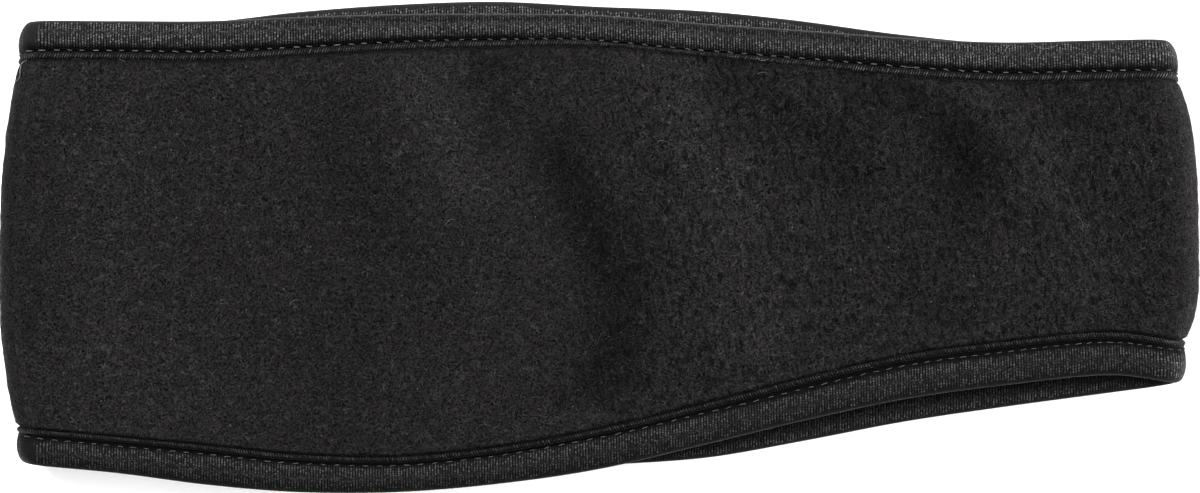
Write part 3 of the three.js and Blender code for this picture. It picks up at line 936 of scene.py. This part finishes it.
def makeTapeMaterial(name, tone):
    material, tree, shader = newMaterial(name)
    place = objectPlace(tree)
    uv = clothUv(tree)
    u = uv.outputs["X"]
    v = uv.outputs["Y"]
    flatness = attribute(tree, "flatness")
    patchy = times(tree, minus(tree, noise(tree, place, 600.0, 2.0), 0.5), 0.8)
    flat = ramp(tree, plus(tree, flatness, patchy), 0.1, 0.9)
    wander = times(tree, minus(tree, noise(tree, place, 500.0, 2.0), 0.5), 0.4)
    ribU = plus(tree, u, wander)
    wave = cosineWave(tree, ribU)
    rib = calc(tree, "POWER", wave, 1.4)
    loopV = times(tree, v, tapeFinish["loops"])
    shiftEach = addNode(tree, "ShaderNodeTexWhiteNoise", noise_dimensions="1D")
    feed(tree, shiftEach.inputs["W"], calc(tree, "ROUND", ribU))
    strayed = calc(tree, "MULTIPLY_ADD", shiftEach.outputs["Value"], tapeFinish["ragged"], v)
    loopPlace = plus(tree, loopV, shiftEach.outputs["Value"])
    spot = {"X": calc(tree, "ROUND", ribU), "Y": calc(tree, "FLOOR", loopPlace)}
    cell = {"Vector": addNode(tree, "ShaderNodeCombineXYZ", spot).outputs[0]}
    lucky = addNode(tree, "ShaderNodeTexWhiteNoise", cell, noise_dimensions="2D").outputs["Value"]
    loopWave = calc(tree, "ABSOLUTE", calc(tree, "SINE", times(tree, loopPlace, np.pi)))
    pad = ramp(tree, v, 1.02, 0.98)
    lip = ramp(tree, v, 1.95, 2.08)
    lip = times(tree, lip, ramp(tree, v, 3.02, 2.98))
    nearRim = ramp(tree, strayed, *tapeFinish["smoothRim"])
    nearRim = times(tree, nearRim, flat)
    # two bands across the pad where painted glints sit, with the ribs crisper in them
    upperBand = times(tree, nearRim, ramp(tree, strayed, *tapeFinish["upperBand"][::-1]))
    lowerBand = times(tree, ramp(tree, strayed, *tapeFinish["lowerBand"]), pad)
    bands = plus(tree, upperBand, lowerBand)
    crisp = times(tree, calc(tree, "MULTIPLY_ADD", bands, 0.7, 0.3), flat)
    ribbed = times(tree, rib, crisp)
    matted = useGroup(tree, fibreGroup, **{"Position": place, "Curl Size": 0.6, "Line Width": 0.06})
    between = times(tree, minus(tree, 1.0, bands), flat)
    fuzzy = times(tree, ramp(tree, matted.outputs["Grain"], 0.4, 0.6, 0.0, 0.8), between)
    ground = mixColors(tree, calc(tree, "MAXIMUM", ribbed, fuzzy), tapeFinish["groove"], tapeFinish["rib"])
    # painted glints in the base colour: bright loops on the ribs in the two bands and fine sparkle between
    # them, where the roughness also drops
    fine = noise(tree, place, tapeFinish["sparkleScale"], 1.0)
    paintedSparkle = times(tree, ramp(tree, fine, 0.56, 0.72, 0.0, 0.45), between)
    loopDot = times(tree, calc(tree, "POWER", loopWave, 1.3), calc(tree, "POWER", lucky, 1.5))
    paintedGlintAndGloss = calc(tree, "MAXIMUM", times(tree, loopDot, ribbed), paintedSparkle)
    withPaintedGlints = mixColors(tree, times(tree, paintedGlintAndGloss, nearRim), ground, tapeFinish["paintedGlint"])
    rimmed = mixColors(tree, nearRim, tapeFinish["rim"], withPaintedGlints)
    # painted shade in the valley
    padded = mixColors(tree, pad, tapeFinish["valley"], rimmed)
    slant = calc(tree, "MULTIPLY_ADD", v, 1.1, times(tree, ribU, 1.06))
    braid = cosineWave(tree, slant)
    # the braid's strands fade dark towards the valley side and the fleece side of the lip: painted shade
    strand = times(tree, ramp(tree, braid, 0.3, 1.0), ramp(tree, v, 2.1, 2.6, 0.08, 1.0))
    strand = times(tree, strand, ramp(tree, v, 3.0, 2.86))
    strandLuck = addNode(tree, "ShaderNodeTexWhiteNoise", noise_dimensions="1D")
    feed(tree, strandLuck.inputs["W"], calc(tree, "ROUND", slant))
    strand = times(tree, strand, ramp(tree, strandLuck.outputs["Value"], 0.0, 1.0, 0.35, 1.3))
    braidTone = times(tree, strand, ramp(tree, matted.outputs["Grain"], 0.38, 0.62, 0.1, 1.0))
    lipColour = mixColors(tree, braidTone, tapeFinish["braidDark"], tapeFinish["braidLight"])
    # painted shading from the tone attribute, scaled down for the lower binding's painted-shade copy
    painted = times(tree, attribute(tree, "tone"), tone)
    feed(tree, shader.inputs["Base Color"], scaled(tree, mixColors(tree, lip, padded, lipColour), painted))
    rough = calc(tree, "MULTIPLY_ADD", paintedGlintAndGloss, tapeFinish["shineRoughness"], tapeFinish["roughness"])
    feed(tree, shader.inputs["Roughness"], rough)
    shader.inputs["Specular IOR Level"].default_value = tapeFinish["specular"]
    shader.inputs["Sheen Weight"].default_value = tapeFinish["sheen"]
    shader.inputs["Sheen Roughness"].default_value = tapeFinish["sheenRoughness"]
    height = plus(tree, ribbed, times(tree, loopWave, 0.25))
    height = times(tree, height, nearRim)
    height = times(tree, height, pad)
    height = plus(tree, height, times(tree, times(tree, braid, lip), 1.2))
    height = plus(tree, height, times(tree, matted.outputs["Height"], 0.35))
    feed(tree, shader.inputs["Normal"], bump(tree, height, tapeFinish["bumpDepth"]))
    return material


def makeTape(edge, node, material):
    count = int(round(loopLength / tape["step"]))
    s = np.arange(count) * loopLength / count
    at = sectionsAt(s[:, None])
    points, v, tone = tapeRing(edge, at)
    rings, ring = points.shape[:2]
    points = points.reshape(-1, 3) + shift
    piece = makePiece(edge + "_tape", points, loopQuads(rings, ring), material=material)
    ribs = round(loopLength / tape["ribPitch"])
    setLoopUv(piece, np.arange(rings + 1) / rings * ribs, v)
    steep = np.abs(np.sin(at["angle"]))
    turning = smooth(steep, 0.45, 0.78) * (1 - smooth(steep, 0.84, 0.995))
    stretched = np.where(at["run"] < 0.5, tape["backStretch"], tape["frontStretch"])
    flatness = 1 - stretched * turning - 0.35 * stretched * (1 - smooth(steep, 0.45, 0.78))
    setAttribute(piece, "flatness", np.broadcast_to(flatness, (rings, ring)))
    setAttribute(piece, "tone", tone)
    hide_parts(node)
    print(edge, "tape:", rings, "sections,", ring, "points round each")
    return piece


upperTape = makeTape("upper", "upper_binding", makeTapeMaterial("knittedTape", 1.0))
# the lower binding takes a painted-shade copy of the tape's material
lowerTape = makeTape("lower", "lower_binding", makeTapeMaterial("paintedShadeKnittedTape", tapeFinish["lowerPaintedShade"]))

stitching = {
    "length": 1.55,
    "radius": {"upper": 0.1, "lower": 0.078},
    "taper": 0.5,  # share of the radius left at the ends
    "tones": (0.55, 1.15),
    "stand": 0.2,  # how far its middle stands over the tape
    "dive": 0.22,  # how deep its ends go in
    "v": 1.05,  # at the foot of the pad
    "slant": 0.09,
    "seeds": {"upper": (41, 43), "lower": (42, 44)},  # for their places and for their tones
    "points": 7,
    "sides": 6,
}

threadFinish = {
    "dark": (0.035, 0.034, 0.035, 1),
    "light": (0.085, 0.083, 0.082, 1),
    "twists": 5.0,
    "roughness": 0.5,
    "bumpDepth": 0.00003,  # metres
    # the lower stitches painted darker: painted shade
    "lowerPaintedShade": 0.6,
}


def makeThreadMaterial(name, tone):
    material, tree, shader = newMaterial(name)
    uv = clothUv(tree)
    twist = calc(tree, "MULTIPLY_ADD", uv.outputs["X"], threadFinish["twists"], uv.outputs["Y"])
    wave = cosineWave(tree, twist)
    twisted = mixColors(tree, wave, threadFinish["dark"], threadFinish["light"])
    each = times(tree, attribute(tree, "tone"), tone)
    feed(tree, shader.inputs["Base Color"], scaled(tree, twisted, each))
    shader.inputs["Roughness"].default_value = threadFinish["roughness"]
    feed(tree, shader.inputs["Normal"], bump(tree, wave, threadFinish["bumpDepth"]))
    return material


# Round threads from their centrelines: rings of points stand across each line, the ends close in a point
def threadTubes(lines, outwards, radius, sides):
    count, steps = lines.shape[:2]
    ahead = np.gradient(lines, axis=1)
    ahead /= np.linalg.norm(ahead, axis=-1, keepdims=True)
    sideways = np.cross(ahead, outwards)
    sideways /= np.linalg.norm(sideways, axis=-1, keepdims=True)
    up = np.cross(sideways, ahead)
    turned = np.arange(sides) / sides * 2 * np.pi
    across = np.cos(turned)[:, None] * sideways[:, :, None] + np.sin(turned)[:, None] * up[:, :, None]
    rings = lines[:, :, None] + across * np.asarray(radius)[..., None, None]
    points = np.concatenate([rings.reshape(count, -1, 3), lines[:, :1], lines[:, -1:]], axis=1)
    i = np.arange(steps - 1)[:, None] * sides
    j = np.arange(sides)[None, :]
    k = (j + 1) % sides
    quads = np.stack([i + j, i + k, i + sides + k, i + sides + j], axis=-1).reshape(-1, 4)
    first = np.full(sides, steps * sides)
    last = first + 1
    end = (steps - 1) * sides
    caps = np.concatenate([np.stack([first, k[0], j[0]], -1), np.stack([last, end + j[0], end + k[0]], -1)])
    offset = np.arange(count)[:, None, None] * (steps * sides + 2)
    return points.reshape(-1, 3), (quads + offset).reshape(-1, 4), (caps + offset).reshape(-1, 3)


def setThreadUv(piece, count, steps, sides):
    i = np.arange(steps - 1)[:, None] / (steps - 1)
    j = np.arange(sides)[None, :] / sides
    di = 1 / (steps - 1)
    dj = 1 / sides
    quads = np.stack(np.broadcast_arrays(i, j, i, j + dj, i + di, j + dj, i + di, j), axis=-1).reshape(-1)
    start = j[0]
    zero = 0 * start
    first = np.stack([zero, start, zero, start + dj, zero, start], -1)
    last = np.stack([1 + zero, start, 1 + zero, start, 1 + zero, start + dj], -1)
    caps = np.stack([first, last]).reshape(-1)
    uv = np.concatenate([np.tile(quads, count), np.tile(caps, count)]).astype(np.float32)
    piece.data.uv_layers.new(name="cloth").data.foreach_set("uv", uv)


# Stitch centrelines: each runs along its edge for its length, rises in a half wave and dives at its ends
def stitchLines(edge, side):
    places, count, whole = stitchPlaces(edge)
    rng = np.random.default_rng(stitching["seeds"][edge][0])
    middle = np.interp(np.arange(whole) + 0.5 + rng.uniform(-0.06, 0.06, whole), count, places)
    along = np.linspace(-0.5, 0.5, stitching["points"])[None, :]
    length = stitching["length"] * rng.uniform(0.7, 1.1, whole)[:, None]
    s = np.mod(middle[:, None] + along * length, loopLength)
    at = sectionsAt(s)
    inward, half = tapeSkin(edge, at, np.full(s.shape, stitching["v"]), side)
    stand = (stitching["stand"] + stitching["dive"]) * np.cos(along * np.pi) ** 0.7 - stitching["dive"]
    slant = along * 2 * stitching["slant"] * rng.uniform(-0.6, 1.8, whole)[:, None]
    lines = placeTape(edge, at, inward + slant, side * (half + stand))
    outwards = np.stack([np.cos(at["angle"]), 0 * s, np.sin(at["angle"])], axis=-1) * side
    return lines, outwards


def makeStitches(edge, material):
    outer, outerUp = stitchLines(edge, 1)
    inner, innerUp = stitchLines(edge, -1)
    lines = np.concatenate([outer, inner])
    upwards = np.concatenate([outerUp, innerUp])
    along = np.linspace(-0.5, 0.5, stitching["points"])
    swell = lerp(stitching["taper"], 1.0, np.cos(along * np.pi) ** 0.5)
    radius = np.broadcast_to(stitching["radius"][edge] * swell, lines.shape[:2])
    points, quads, caps = threadTubes(lines, upwards, radius, stitching["sides"])
    piece = makePiece(edge + "_stitches", points + shift, quads, caps, material)
    rng = np.random.default_rng(stitching["seeds"][edge][1])
    tones = rng.uniform(*stitching["tones"], (len(lines), 1))
    setAttribute(piece, "tone", np.broadcast_to(tones, (len(lines), len(points) // len(lines))))
    setThreadUv(piece, len(lines), stitching["points"], stitching["sides"])
    print(edge, "stitches:", len(lines))
    return piece


threadMaterial = makeThreadMaterial("greyThread", 1.0)
# the lower stitches take a painted-shade copy of the thread's material
paintedShadeThread = makeThreadMaterial("paintedShadeGreyThread", threadFinish["lowerPaintedShade"])
upperStitches = makeStitches("upper", threadMaterial)
lowerStitches = makeStitches("lower", paintedShadeThread)

# Fine hairs of the fleece: short curved fibres lying over the outer face
fuzz = {
    "upperCount": 7800,
    "lowerCount": 4200,
    "length": (0.5, 1.7),
    "radius": 0.022,
    "leanDegrees": (8, 40),
    "curl": 0.5,
    "seed": 51,
    "dark": (0.012, 0.0118, 0.0118, 1),
    "light": (0.06, 0.059, 0.058, 1),
    "roughness": 0.7,
}


def makeFuzzMaterial():
    material, tree, shader = newMaterial("fleeceHairs")
    hair = mixColors(tree, attribute(tree, "tone"), fuzz["dark"], fuzz["light"])
    feed(tree, shader.inputs["Base Color"], hair)
    shader.inputs["Roughness"].default_value = fuzz["roughness"]
    return material


# Each hair: from its root along a random way in the cloth, bending aside with the square of the way and
# rising off the cloth as a parabola that comes down again
def makeFuzz(name, material, sRange, count, seed):
    rng = np.random.default_rng(seed)
    s = rng.uniform(sRange[0], sRange[1], (count, 1))
    at = sectionsAt(s)
    share = rng.uniform(0.012, 0.988, (count, 1))
    low = at["lower"] + at["lowerTape"]
    high = at["upper"] - at["upperTape"]
    y = lerp(low, high, share)
    roots = fleeceFace(at, y, 1)[:, 0]
    angle = at["angle"][:, 0]
    out = np.stack([np.cos(angle), 0 * angle, np.sin(angle)], axis=-1)
    along = np.stack([np.sin(angle), 0 * angle, -np.cos(angle)], axis=-1)
    across = np.array([0.0, 1.0, 0.0])
    way = rng.uniform(0, 2 * np.pi, (count, 1))
    ahead = np.cos(way) * along + np.sin(way) * across
    aside = -np.sin(way) * along + np.cos(way) * across
    length = rng.uniform(*fuzz["length"], (count, 1))
    lean = np.radians(rng.uniform(*fuzz["leanDegrees"], (count, 1)))
    curl = rng.normal(0, fuzz["curl"], (count, 1))
    t = np.array([0.0, 0.35, 0.7, 1.0])[None, :, None]
    lines = roots[:, None] + length[:, None] * (
        t * np.cos(lean)[:, None] * ahead[:, None]
        + curl[:, None] * t ** 2 * aside[:, None]
        + np.sin(lean)[:, None] * (t - 0.75 * t ** 2) * out[:, None]
    )
    lines = lines - 0.03 * out[:, None]
    taper = np.array([1.0, 0.9, 0.65, 0.15])[None, :] * fuzz["radius"] * rng.uniform(0.7, 1.3, (count, 1))
    points, quads, caps = threadTubes(lines, np.broadcast_to(out[:, None], lines.shape), taper, 3)
    points[:, 2] = np.maximum(points[:, 2], 0.01)
    piece = makePiece(name, points + shift, quads, caps, material)
    tone = rng.uniform(0, 1, (count, 1)) ** 2
    setAttribute(piece, "tone", np.broadcast_to(tone, (count, len(points) // count)))
    print(name + ":", count, "hairs")
    return piece


fuzzMaterial = makeFuzzMaterial()
upperRange = (0, layerLength)
lowerRange = (layerLength, loopLength)
upperFuzz = makeFuzz("upper_fuzz", fuzzMaterial, upperRange, fuzz["upperCount"], fuzz["seed"])
lowerFuzz = makeFuzz("lower_fuzz", fuzzMaterial, lowerRange, fuzz["lowerCount"], fuzz["seed"] + 1)

# The seam down the centre back: a zigzag thread that crosses it from side to side
backSeam = {
    "pitch": 1.15,
    "half": 0.42,
    "radius": 0.1,
    "stand": 0.02,
    "dip": 0.12,
    "fromLip": 0.6,
    "tone": 0.8,
}


def backFoldS(degrees):
    return 2 * layerLength + foldLength + (270.0 - np.asarray(degrees, float)) / 180 * foldLength


def surfaceLine(s, y, stand):
    at = sectionsAt(s)
    points = fleeceFace(at, y, 1)
    out = np.stack([np.cos(at["angle"]), 0 * s, np.sin(at["angle"])], axis=-1)
    return points + out * stand[:, None], out


def makeBackSeam(material):
    middle = backFoldS(fleece["seam"]["angle"])
    ends = sectionsAt(np.array([middle]))
    low = ends["lower"][0] + ends["lowerTape"][0] + backSeam["fromLip"]
    high = ends["upper"][0] - ends["upperTape"][0] - backSeam["fromLip"]
    count = int((high - low) / backSeam["pitch"]) * 4
    t = np.arange(count + 1) / 4
    swing = 1 - np.abs(np.mod(t, 2) - 1) * 2  # a triangle wave
    stand = backSeam["stand"] - backSeam["dip"] * np.abs(swing) ** 6
    line, out = surfaceLine(middle + swing * backSeam["half"], lerp(low, high, t / t[-1]), stand)
    points, quads, caps = threadTubes(line[None], out[None], np.full((1, len(line)), backSeam["radius"]), 6)
    piece = makePiece("back_seam_thread", points + shift, quads, caps, material)
    setAttribute(piece, "tone", np.full(len(points), backSeam["tone"]))
    setThreadUv(piece, 1, len(line), 6)
    print("back seam:", count // 4, "zigzags")
    return piece


# Loose ends and stray hairs: degrees round the back fold or mm along the upper layer, then y in mm, or
# on the tape the distance in from the band's upper edge
loose = {
    "foldEnds": (
        ((138, 147, 143, 144, 158), (38.6, 37.6, 36.3, 35.0, 34.3), 0.09),
        ((163, 168, 151), (-34.9, -36.2, -37.1), 0.07),
        ((176, 169, 178), (1.5, -4.5, -9.5), 0.05),
    ),
    "tapeHairs": (
        ((91.0, 92.0, 93.7, 95.3, 96.3), (0.35, 1.1, 1.5, 1.1, 0.35), 0.04),
        ((85.1, 85.5, 86.6), (2.1, 1.2, 0.4), 0.045),
        ((33.4, 34.4, 35.8), (6.3, 6.9, 6.5), 0.045),
        ((64.0, 65.6, 67.5), (6.4, 6.1, 6.6), 0.04),
    ),
    "hairs": (
        ((-101.2, -99.4, -98.0), (39.3, 38.8, 38.2), 0.035),
        ((33.2, 34.4, 35.6), (35.7, 36.1, 35.6), 0.035),
        ((71.2, 73.4, 76.0), (-27.1, -26.6, -27.3), 0.04),
        ((-62.0, -60.9, -60.2), (-12.1, -11.2, -11.6), 0.03),
        ((12.1, 13.0, 14.4), (21.3, 21.9, 21.4), 0.03),
        ((-30.4, -29.6, -28.3), (4.4, 5.5, 5.2), 0.03),
        ((96.4, 97.3, 97.6), (6.2, 5.4, 4.1), 0.03),
    ),
    "points": 15,
    "stand": 0.16,
    "tones": {"foldEnds": 1.9, "tapeHairs": 1.8, "hairs": 1.5},
}


# A line over the upper tape's outer face, at distances in from the band's edge
def tapeLine(s, inward, stand):
    around = np.linspace(0, 3, 200)[None, :]
    insets, halves = tapeSkin("upper", sectionsAt(s[:, None]), around, 1)
    half = np.array([np.interp(*given) for given in zip(inward, insets, halves)])
    at = sectionsAt(s)
    out = np.stack([np.cos(at["angle"]), 0 * s, np.sin(at["angle"])], axis=-1)
    return placeTape("upper", at, inward, half + stand), out


# Each line is a curve of the third degree or less, fitted as closely as it can be to its few points
def makeLoose(material):
    t = np.linspace(0, 1, loose["points"])
    lines = []
    outs = []
    radii = []
    tones = []
    for kind, tone in loose["tones"].items():
        for along, across, radius in loose[kind]:
            given = np.linspace(0, 1, len(along))
            degree = min(len(along) - 1, 3)
            a = np.polyval(np.polyfit(given, along, degree), t)
            y = np.polyval(np.polyfit(given, across, degree), t)
            s = backFoldS(a) if kind == "foldEnds" else a - backCentre
            drawn = tapeLine if kind == "tapeHairs" else surfaceLine
            line, out = drawn(s, y, loose["stand"] * np.sin(np.pi * t))
            tones.append(tone)
            lines.append(line)
            outs.append(out)
            radii.append(radius * (1 - 0.6 * t ** 4))
    points, quads, caps = threadTubes(np.stack(lines), np.stack(outs), np.stack(radii), 5)
    piece = makePiece("loose_threads", points + shift, quads, caps, material)
    setAttribute(piece, "tone", np.repeat(tones, len(points) // len(lines)))
    setThreadUv(piece, len(lines), loose["points"], 5)
    print("loose threads:", len(lines))
    return piece


seamThread = makeBackSeam(threadMaterial)
looseThreads = makeLoose(threadMaterial)

# Camera straight above, framed as the photo: 1200 by 493 with this many millimetres to a pixel
camera = {
    "lens": 200.0,
    "sensor": 36.0,
    "imageWidth": 1200,
    "mmPerPixel": 0.2085,
    "focusHeight": 7.0,
    "centre": (0.1, -0.1),
}


def makeCamera():
    data = bpy.data.cameras.new("camera")
    data.lens = camera["lens"]
    data.sensor_width = camera["sensor"]
    away = camera["imageWidth"] * camera["mmPerPixel"] * camera["lens"] / camera["sensor"]
    made = bpy.data.objects.new("camera", data)
    x, y = camera["centre"]
    made.location = (x * mm, y * mm, (away + camera["focusHeight"]) * mm)
    bpy.context.scene.collection.objects.link(made)
    bpy.context.scene.camera = made


# Soft studio light: each panel looks at the middle of the band
lights = {
    "keyPanel": {"place": (-0.85, 0.9, 0.66), "size": (0.8, 0.5), "power": 44.0},
    "lowPanel": {"place": (0.2, -1.1, 0.9), "size": (1.4, 0.5), "power": 7.0},
    "frontPanel": {"place": (1.1, 0.1, 0.3), "size": (0.6, 0.3), "power": 22.0},
    "topPanel": {"place": (0.0, 0.2, 2.2), "size": (2.0, 1.4), "power": 18.0},
}


def makeLights():
    for name, panel in lights.items():
        data = bpy.data.lights.new(name, "AREA")
        data.shape = "RECTANGLE"
        data.size, data.size_y = panel["size"]
        data.energy = panel["power"]
        made = bpy.data.objects.new(name, data)
        made.location = panel["place"]
        aim = -made.location
        made.rotation_mode = "QUATERNION"
        made.rotation_quaternion = aim.to_track_quat("-Z", "Y")
        made.visible_camera = False
        bpy.context.scene.collection.objects.link(made)


# The floor glows a little, as a light table does
studio = {"floorHalf": 30.0, "floorTone": (0.86, 0.86, 0.86, 1), "glow": 0.3, "world": 0.45}


def makeStudio():
    half = studio["floorHalf"]
    mesh = bpy.data.meshes.new("floor")
    corners = [(-half, -half, 0), (half, -half, 0), (half, half, 0), (-half, half, 0)]
    mesh.from_pydata(corners, [], [(0, 1, 2, 3)])
    floor = bpy.data.objects.new("floor", mesh)
    bpy.context.scene.collection.objects.link(floor)
    material, tree, shader = newMaterial("palePaper")
    grain = ramp(tree, noise(tree, objectPlace(tree), 900.0, 2.0), 0.3, 0.7, 0.9, 0.98)
    feed(tree, shader.inputs["Roughness"], grain)
    shader.inputs["Base Color"].default_value = studio["floorTone"]
    shader.inputs["Specular IOR Level"].default_value = 0.1
    shader.inputs["Emission Color"].default_value = (1, 1, 1, 1)
    shader.inputs["Emission Strength"].default_value = studio["glow"]
    mesh.materials.append(material)
    world = bpy.data.worlds.new("studio")
    world.use_nodes = True
    background = world.node_tree.nodes["Background"]
    background.inputs["Color"].default_value = (1, 1, 1, 1)
    background.inputs["Strength"].default_value = studio["world"]
    bpy.context.scene.world = world
    bpy.context.scene.view_settings.view_transform = "Standard"


makeCamera()
makeLights()
makeStudio()
print("camera, lights and floor set")
